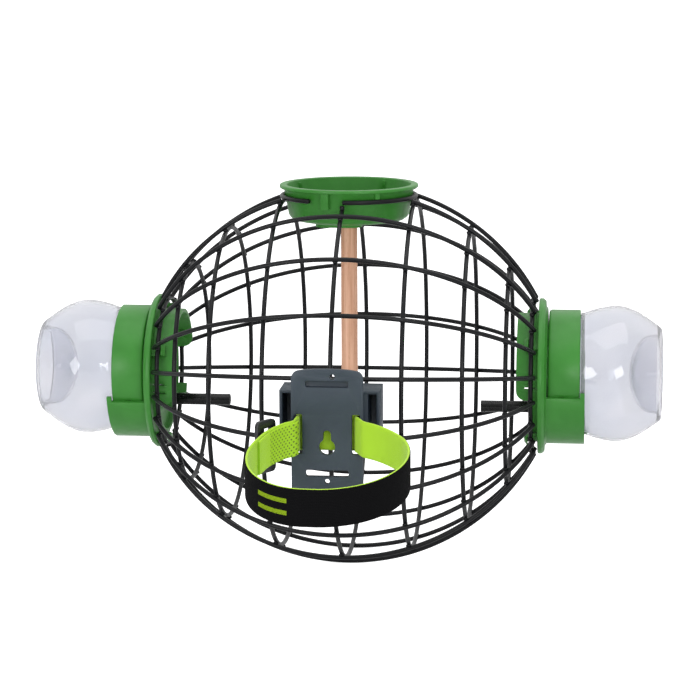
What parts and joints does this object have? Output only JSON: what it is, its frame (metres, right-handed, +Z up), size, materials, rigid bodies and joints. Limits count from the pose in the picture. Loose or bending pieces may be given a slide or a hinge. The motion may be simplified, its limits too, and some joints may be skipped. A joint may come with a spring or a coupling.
{
  "type": "caged bird feeder",
  "caption": "Round wire cage with a clear bubble jar and perch in each end port, a lift-off dish on a rod, and a plate with a strap that ties it to a tree.",
  "frame": {"origin": "the point of the strap plate's outer face that bears on the tree", "axes": "+Z up towards the dish, +X along the axis of the two ports, -Y out of the plate towards the tree"},
  "size_m": [0.4128, 0.3924, 0.2519],
  "materials": {
    "wire_black": "satin black powder coat",
    "green": "semi-gloss moulded",
    "clear": "clear, polished",
    "wood": "bare turned dowel",
    "slate": "fine satin",
    "perch_black": "satin",
    "strap": "woven, lime inside",
    "buckle": "satin",
    "steel": "zinc plated"
  },
  "bodies": {
    "tree_mount": {"strap_plate": "slate", "strap": "strap", "strap_buckle": "buckle"},
    "cage": {"cage_ring_1": "wire_black", "cage_ring_2": "wire_black", "cage_ring_3": "wire_black", "cage_ring_4": "wire_black", "cage_ring_5": "wire_black", "cage_ring_6": "wire_black", "cage_ring_7": "wire_black", "clamp_plate": "slate", "clamp_screw_1": "steel", "clamp_screw_2": "steel", "end_ring_left": "wire_black", "end_ring_right": "wire_black", "holder": "slate", "meridian_01_left": "wire_black", "meridian_01_right": "wire_black", "meridian_02": "wire_black", "meridian_03": "wire_black", "meridian_04": "wire_black", "meridian_05": "wire_black", "meridian_06": "wire_black", "meridian_07": "wire_black", "meridian_08": "wire_black", "meridian_09": "wire_black", "meridian_10": "wire_black", "meridian_11": "wire_black", "meridian_12": "wire_black", "meridian_13": "wire_black", "meridian_14": "wire_black", "meridian_15": "wire_black", "meridian_16": "wire_black", "meridian_17": "wire_black", "meridian_18": "wire_black", "meridian_19": "wire_black", "meridian_20_left": "wire_black", "meridian_20_right": "wire_black", "opening_ring": "wire_black"},
    "dish": {"dish": "green", "rod": "wood"},
    "port_left": {"port_left": "green", "perch_left": "perch_black"},
    "collar_left": {"collar_left": "green"},
    "jar_left": {"jar_left": "clear"},
    "port_right": {"port_right": "green", "perch_right": "perch_black"},
    "collar_right": {"collar_right": "green"},
    "jar_right": {"jar_right": "clear"}
  },
  "joints": [
    {"name": "cage_lift", "type": "slide", "parent": "tree_mount", "child": "cage", "axis": [0, 0, 1], "range_m": [0, 0.04]},
    {"name": "dish_lift", "type": "slide", "parent": "cage", "child": "dish", "axis": [0, 0, 1], "range_m": [0, 0.17]},
    {"name": "port_turn_left", "type": "hinge", "parent": "cage", "child": "port_left", "pos_m": [-0.003, 0.166, -0.0093], "axis": [1, 0, 0], "continuous": true},
    {"name": "collar_lift_left", "type": "slide", "parent": "port_left", "child": "collar_left", "axis": [0, -0.3173, 0.9483], "range_m": [0, 0.05]},
    {"name": "jar_twist_left", "type": "hinge", "parent": "collar_left", "child": "jar_left", "pos_m": [-0.003, 0.16527, -0.00712], "axis": [-1, 0, 0], "range_deg": [0, 60]},
    {"name": "port_turn_right", "type": "hinge", "parent": "cage", "child": "port_right", "pos_m": [-0.003, 0.166, -0.0093], "axis": [1, 0, 0], "continuous": true},
    {"name": "collar_lift_right", "type": "slide", "parent": "port_right", "child": "collar_right", "axis": [0, -0.1478, 0.989], "range_m": [0, 0.05]},
    {"name": "jar_twist_right", "type": "hinge", "parent": "collar_right", "child": "jar_right", "pos_m": [-0.003, 0.16566, -0.00702], "axis": [1, 0, 0], "range_deg": [0, 60]}
  ]
}
